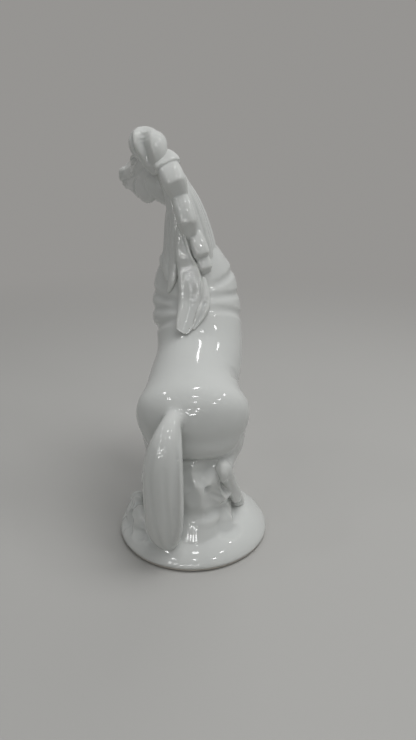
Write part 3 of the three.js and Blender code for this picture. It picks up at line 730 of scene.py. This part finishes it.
HEAD_SIDE_STROKES = {
    "nostril": ([(8.8, 58, 3.8), (8, 60.8, 1.6), (6.8, 62.6, -0.6)], 3, -3),
    "nostril_rim": (
        [(9, 54, 2.6), (9, 57, 5.6), (7, 61.5, 4.4), (6, 63, 1.4), (7.5, 61.5, -1.4)], 2.2, 0.6),
    "lips": ([(9, 45, -5.4), (8.8, 52, -5), (7.6, 59, -4.6), (4.5, 64, -4.2), (0.6, 65.5, -4)], 2, -1.1),
    "upper_lid": (
        [(11.4, 15.6, 3.2), (12.8, 18.8, 6.4), (13, 23, 7.4), (12, 27, 5.6), (10.6, 30.5, 2)], 1.8, 1.4),
    "lower_lid": ([(11.4, 16.4, 2.2), (12.8, 20, -0.2), (12.6, 24.6, -0.2), (11, 29, 1.8)], 1.6, 0.9),
    "eye_corner": ([(11.8, 26.6, 3), (11, 28.6, 2.4), (10, 31, 1.4)], 1.5, -0.8),
    "cheek_edge": ([(11, 25, -7), (11, 31, -11), (10, 33, -17), (9, 30, -24)], 3.4, -1.2),
    "temple": ([(11.5, 13.5, 7)], 5, -1.4),
    "pupil": ([(13.6, 22.8, 3.6)], 1.5, -0.5),
    "face_hollow": ([(7, 50, 7.5), (7.4, 42, 6.5), (8.4, 34, 5.5)], 4, -0.8),
}
EARS = [
    [(-40, 60, 280.5), (-42.6, 61.5, 287), (-43.8, 62.6, 292.4), (-43.6, 63.4, 297)],
    [(-23.5, 71, 281), (-24, 73, 287), (-24.6, 75, 292), (-25.4, 76.5, 296)],
]
EAR_SIZES = [(3.6, 3.2), (4.9, 3), (4.3, 2.4), (1.8, 1.4)]
EAR_OPENING = np.array((-0.8, 2.4, 0))
HEAD_GRAIN = 0.45
flat = math.cos(HEAD_DROP)
forward = Vector((-math.sin(HEAD_TURN) * flat, math.cos(HEAD_TURN) * flat, -math.sin(HEAD_DROP)))
rightward = forward.cross(Vector((0, 0, 1))).normalized()
head_place = Matrix((rightward, forward, rightward.cross(forward))).transposed()


def in_head(x, y, z):
    """A point of the head, from its own right, forward and up, in millimetres."""
    return tuple(HEAD_ROOT + head_place @ Vector((x, y, z)))


def head_form(rings, **shape):
    """A form of the head, given from its own right, forward and up."""
    return form([(*in_head(*ring[:3]), *ring[3:]) for ring in rings], side=rightward, **shape)


skull = [
    head_form(SKULL, corners=14, tips=(0.5, 0.45)),
    head_form(NOSE_BRIDGE),
    head_form(CHIN),
    form(THROAT),
]
head_strokes = []
for hand in (LEFT, RIGHT):
    for rings in HEAD_SIDE.values():
        skull.append(head_form([(hand * ring[0], *ring[1:]) for ring in rings]))
    for stops, reach, height in HEAD_SIDE_STROKES.values():
        head_strokes.append(([in_head(hand * x, y, z) for x, y, z in stops], reach, height))
ears = []
for stops in EARS:
    ears.append(form([(*stop, *sizes) for stop, sizes in zip(stops, EAR_SIZES)]))
    head_strokes.append(([np.array(stop) + EAR_OPENING for stop in stops], 3.4, -1.9))
head = fused(clay("horse_head", skull + ears), HEAD_GRAIN, 4)
sculpted(head, head_strokes)
softened(head, 1)
finished(head, glaze, "head", "ear_left", "ear_right")

# Mane: five full locks down the crest, each rooted under the one above and cut off blunt below, and long
# strands that lie side by side down both flanks. They are pressed from moulds and luted on.
CREST = NECK + [(-29, 56, 285, 9, 12.5, 11)]
CREST_LOCKS = [
    (0.9, 0.73, 0.7, 90, 86, 19, 5.6), (0.8, 0.635, 0.53, 90, 85, 17, 8.5),
    (0.61, 0.435, 0.325, 88, 82, 14.5, 8.5), (0.385, 0.23, 0.18, 70, 63, 12.5, 6),
    (0.26, 0.15, 0.1, 66, 62, 11, 5.5),
]
LOCK_STEPS = [
    (0, 0.1, 0.6), (0.3, 0.45, 0.85), (0.62, 0.78, 0.97), (0.9, 0.98, 1.02), (1, 1, 1), (1.12, 0.8, 0.97),
    (1.5, 0.42, 0.8), (2, 0.05, 0.45),
]
LOCK_ROOT = 4
RIGHT_STRANDS = [(0.88, 0.13, 62, 58), (0.84, 0.09, 44, 48), (0.79, 0.07, 26, 38), (0.73, 0.08, 9, 26)]
LEFT_STRANDS = [
    [(NECK, 0.62, 160), (NECK, 0.45, 163), (NECK, 0.28, 162), (BARREL, 0.98, 156), (BARREL, 0.95, 151),
     (BARREL, 0.92, 145)],
    [(NECK, 0.68, 139), (NECK, 0.48, 144), (NECK, 0.3, 145), (BARREL, 0.95, 140), (BARREL, 0.91, 135),
     (BARREL, 0.87, 131)],
    [(NECK, 0.72, 121), (NECK, 0.5, 126), (NECK, 0.32, 127), (BARREL, 0.95, 124), (BARREL, 0.88, 122),
     (BARREL, 0.815, 129)],
]
RIGHT_SWELL = (0.4, 0.8, 1, 1, 0.95, 0.75, 0.35)
LEFT_SWELL = (0.4, 0.75, 0.95, 1, 1, 0.95, 0.9, 0.75, 0.35)
LEFT_FLAT = (-0.64, 0.77, 0)
RIGHT_WIDTH = 9
RIGHT_THICKNESS = 7
RIGHT_LIFT = -2.2
LEFT_WIDTH = 10
LEFT_THICKNESS = 7.2
HAIR_GRAIN = 0.5


def flat_on_neck(degrees):
    """The way across a lock that lies on the neck at this angle."""
    angle = math.radians(degrees)
    return math.sin(angle), math.cos(angle), 0


def right_strand(start, end, above, below, bow):
    """One long strand on the right of the neck, a little bowed."""
    rings = []
    for i, swell in enumerate(RIGHT_SWELL):
        share = i / (len(RIGHT_SWELL) - 1)
        degrees = above - 12 * share + (below - above + 12) * share**3 + 2.5 * math.sin(5 * share + bow)
        lift = RIGHT_LIFT + 0.5 * math.sin(2.2 * bow)
        place = on_form(NECK, start + (end - start) * share, degrees, lift)
        rings.append((*place, swell * RIGHT_WIDTH / 2, swell * RIGHT_THICKNESS / 2))
    return form(rings, side=flat_on_neck(above), corners=8)


def left_strand(stops):
    """One long strand on the left, flat against the neck and hooked at its tip."""
    path = [on_form(place, share, degrees, -0.4 if place is NECK else 1) for place, share, degrees in stops]
    rings = []
    for i, swell in enumerate(LEFT_SWELL):
        place = spline(path, i / (len(LEFT_SWELL) - 1))
        rings.append((*place, LEFT_WIDTH / 2 * swell, LEFT_THICKNESS / 2 * swell))
    return form(rings, side=LEFT_FLAT, corners=8)


locks = []
for start, edge, end, above, below, width, proud in CREST_LOCKS:
    rings = []
    for step, height, across in LOCK_STEPS:
        share = start + (edge - start) * step if step < 1 else edge + (end - edge) * (step - 1)
        place = on_form(CREST, share, above + (below - above) * step / 2)
        rings.append((*place, across * width / 2, LOCK_ROOT, max(height * proud, 0.5)))
    locks.append(form(rings, side=flat_on_neck(above), blunt=0.18))
right_falls = [right_strand(*fall, bow) for bow, fall in enumerate(RIGHT_STRANDS)]
crest = fused(clay("mane_crest", locks + right_falls), HAIR_GRAIN, 2)
finished(
    crest, glaze, "mane_lock_1", "mane_lock_2", "mane_lock_3", "mane_lock_4", "mane_lock_5",
    "mane_fall_right")
left_falls = [left_strand(stops) for stops in LEFT_STRANDS]
finished(fused(clay("mane_left", left_falls), HAIR_GRAIN, 3), glaze, "mane_fall_left")

# Forelock: one full tuft of porcelain, luted on at the top of the mane, that rises out of it and rolls
# forward over the poll. A soft groove parts it, and it is scooped beside that with the modelling tool.
FORELOCK = [
    (-24, 43, 270, 7, 5), (-28, 41, 281, 11.5, 8), (-30.6, 43, 288.4, 14.2, 11.2),
    (-32.2, 51, 290.6, 14.5, 11.2), (-34.5, 64, 289, 11.5, 9), (-37, 77, 283.4, 5.5, 4.5),
]
FORELOCK_STROKES = [
    ([(-31, 37, 271), (-32.8, 35.5, 278), (-34.2, 34.5, 284), (-34.8, 34.5, 289.5), (-34.2, 37, 294.5),
      (-33.6, 41, 298)], 7, -5.8),
    ([(-43, 41, 279), (-41.2, 39, 284), (-39.8, 37.5, 289), (-38.8, 40, 295), (-38, 45, 299)], 4, 1.2),
    ([(-36.4, 38, 272), (-38.8, 37, 278), (-41, 38, 284), (-42.4, 39, 289), (-42.8, 42, 294)], 3, -2.2),
    ([(-35, 54, 303), (-35.5, 62, 301), (-36, 69, 297), (-37, 76, 290)], 4.4, -1.6),
    ([(-24, 46, 298), (-25.5, 54, 300), (-28, 62, 298), (-30, 70, 294)], 3.6, -1),
    ([(-43.5, 46, 293), (-42.5, 54, 298), (-41, 63, 297)], 3.6, -0.8),
]
FORELOCK_FLAT = (1, 0, -0.36)
forelock = fused(clay("forelock_tuft", [form(FORELOCK, side=FORELOCK_FLAT, corners=16)]), HAIR_GRAIN, 3)
sculpted(forelock, FORELOCK_STROKES)
softened(forelock, 12)
finished(forelock, glaze, "forelock")

# Withers locks: two flat leaves of mane, pressed from the same clay and luted down the back under the
# crest. The long one is scooped along its middle and has a fine raised rim.
LONG_LEAF = [
    (NECK, 0.52, 109, 0.2, 0.8), (NECK, 0.4, 107, 0.4, 1.4), (NECK, 0.28, 104, 0.62, 2.4),
    (BARREL, 0.93, 98, 0.82, 3.6), (BARREL, 0.86, 96, 0.96, 2.4), (BARREL, 0.78, 97, 1, 0),
    (BARREL, 0.69, 101, 0.92, -0.4), (BARREL, 0.61, 107, 0.78, 1), (BARREL, 0.56, 110.5, 0.58, 2),
    (BARREL, 0.54, 111.5, 0.42, 2.2),
]
SHORT_LEAF = [
    (BARREL, 0.87, 78, 0.5, 0.8), (BARREL, 0.76, 79, 0.9, 0.8), (BARREL, 0.66, 86, 1, 0.8),
    (BARREL, 0.57, 98, 0.4, 0.8),
]


def leaf(name, stops, width, thickness, rim):
    """A leaf laid along its stops, each a place on the horse's skin with its swell and its lift."""
    stops = [(*on_form(place, share, degrees, lift), swell) for place, share, degrees, swell, lift in stops]
    rings = []
    edge = []
    for k in range(2 * len(stops)):
        x, y, z, swell = spline(stops, k / (2 * len(stops) - 1))
        rings.append((x, y, z, swell * width / 2, swell * thickness / 2))
        edge.append((x + 0.42 * swell * width, y - 0.2 * thickness, z, rim, rim))
    forms = [form(rings)] + ([form(edge, corners=8)] if rim else [])
    piece = fused(clay(name, forms), HAIR_GRAIN, 3)
    middle = [(x, y - 0.4 * thickness * swell, z) for x, y, z, swell in stops[len(stops) // 3:]]
    sculpted(piece, [(middle, 0.42 * width, -0.3 * thickness)])
    return softened(piece, 2)


long_leaf = leaf("withers_leaf_long", LONG_LEAF, width=19, thickness=9, rim=1.1)
finished(long_leaf, glaze, "withers_lock_long")
short_leaf = leaf("withers_leaf_short", SHORT_LEAF, width=9, thickness=8, rim=0)
finished(short_leaf, glaze, "withers_lock_short")

# Studio: a plain pale floor that runs into a backdrop of the same grey, soft light from above, and rows of
# small lamps on the ceiling and on the wall behind the camera that give the glaze its glints.
FLOOR_RADIUS = 12
FLOOR_COLOUR = (0.46, 0.455, 0.44, 1)
FLOOR_FADE = (0.3, 1.3)
BACKDROP = (0.305, 0.298, 0.288, 1)
SKY_COLOUR = (0.98, 1, 1, 1)
SKY_STRENGTH = 0.195


def sight(tree):
    """1 for a ray that shows the backdrop, straight on, in the glaze or through glass."""
    rays = tree.nodes.new("ShaderNodeLightPath")
    seen = rays.outputs["Is Camera Ray"]
    for kind in ("Is Glossy Ray", "Is Transmission Ray"):
        either = tree.nodes.new("ShaderNodeMath")
        either.operation = "MAXIMUM"
        tree.links.new(seen, either.inputs[0])
        tree.links.new(rays.outputs[kind], either.inputs[1])
        seen = either.outputs[0]
    return seen


bpy.ops.mesh.primitive_circle_add(vertices=96, radius=FLOOR_RADIUS, fill_type="NGON")
floor = bpy.context.object
floor.name = "floor"
pale = bpy.data.materials.new("pale_floor")
pale.use_nodes = True
tree = pale.node_tree
matt = tree.nodes["Principled BSDF"]
matt.inputs["Base Color"].default_value = FLOOR_COLOUR
matt.inputs["Roughness"].default_value = 0.55
spot = tree.nodes.new("ShaderNodeTexCoord").outputs["Object"]
far = tree.nodes.new("ShaderNodeVectorMath")
far.operation = "LENGTH"
tree.links.new(spot, far.inputs[0])
fade = range_of(tree, far.outputs["Value"], reads=FLOOR_FADE)
fade.interpolation_type = "SMOOTHSTEP"
shown = tree.nodes.new("ShaderNodeMath")
shown.operation = "MULTIPLY"
tree.links.new(fade.outputs["Result"], shown.inputs[0])
tree.links.new(sight(tree), shown.inputs[1])
grey = node_of(tree, "ShaderNodeEmission", Color=BACKDROP)
blend = node_of(tree, "ShaderNodeMixShader", Fac=shown.outputs[0])
tree.links.new(matt.outputs["BSDF"], blend.inputs[1])
tree.links.new(grey.outputs["Emission"], blend.inputs[2])
tree.links.new(blend.outputs["Shader"], tree.nodes["Material Output"].inputs["Surface"])
floor.data.materials.append(pale)

world = bpy.data.worlds.new("studio")
bpy.context.scene.world = world
world.use_nodes = True
tree = world.node_tree
sky = tree.nodes["Background"]
sky.inputs["Color"].default_value = SKY_COLOUR
sky.inputs["Strength"].default_value = SKY_STRENGTH
grey = node_of(tree, "ShaderNodeBackground", Color=BACKDROP)
blend = node_of(tree, "ShaderNodeMixShader", Fac=sight(tree))
tree.links.new(sky.outputs["Background"], blend.inputs[1])
tree.links.new(grey.outputs["Background"], blend.inputs[2])
tree.links.new(blend.outputs["Shader"], tree.nodes["World Output"].inputs["Surface"])

FIGURE_MIDDLE = Vector((0, 0, 0.12))
CEILING_HEIGHT = 1.6
CEILING_ROWS = [(-0.1, 0.9), (-1, 0.8), (-1.9, 1)]
CEILING_LAMP = (0.22, 0.08)
WALL_LAMP = (0.24, 0.1)
FAR_LAMP = (0.13, 0.07)


def lamp(name, place, size, power, shows=True, lights=True):
    """A flat lamp turned to the figure. It shows in the glaze, lights the clay, or both."""
    data = bpy.data.lights.new(name, "AREA")
    data.shape = "RECTANGLE"
    data.size, data.size_y = size
    data.energy = power
    lamp_object = bpy.data.objects.new(name, data)
    bpy.context.scene.collection.objects.link(lamp_object)
    lamp_object.location = place
    lamp_object.rotation_euler = (FIGURE_MIDDLE - Vector(place)).to_track_quat("-Z", "Y").to_euler()
    lamp_object.visible_glossy = shows
    lamp_object.visible_diffuse = lights


lamp("overhead", (0.5, -0.12, 1.55), (1, 1), 13.4, shows=False)
lamp("front_fill", (0.5, 1.5, 1.1), (1, 1), 4, shows=False)
for row, (back, power) in enumerate(CEILING_ROWS):
    for k in (-1, 0, 1):
        place = (1.2 * k + 0.1, back, CEILING_HEIGHT)
        lamp(f"ceiling_lamp_{row}_{k + 2}", place, CEILING_LAMP, power)
for row in range(3):
    for k in range(2):
        place = (-1.1 - 0.45 * k, -2.4, 0.5 + 0.3 * row)
        lamp(f"wall_lamp_{row}_{k + 1}", place, WALL_LAMP, 0.8, lights=False)
    for k in range(3):
        place = (-0.65 + 0.36 * k + 0.1 * row, -2.1, 0.2 + 0.24 * row)
        lamp(f"far_lamp_{row}_{k + 1}", place, FAR_LAMP, 0.5, lights=False)

PICTURE_HEIGHT = 740
FOCAL_PIXELS = 560
SENSOR = 36
CAMERA_PLACE = (0.0116, -0.386, 0.268)
CAMERA_DROP = 19.3
camera_data = bpy.data.cameras.new("camera")
camera_data.sensor_width = SENSOR
camera_data.lens = FOCAL_PIXELS / PICTURE_HEIGHT * SENSOR
camera_data.clip_start = 0.01
camera = bpy.data.objects.new("camera", camera_data)
bpy.context.scene.collection.objects.link(camera)
camera.location = CAMERA_PLACE
camera.rotation_euler = (math.radians(90 - CAMERA_DROP), 0, 0)
bpy.context.scene.camera = camera
bpy.context.scene.view_settings.view_transform = "Standard"
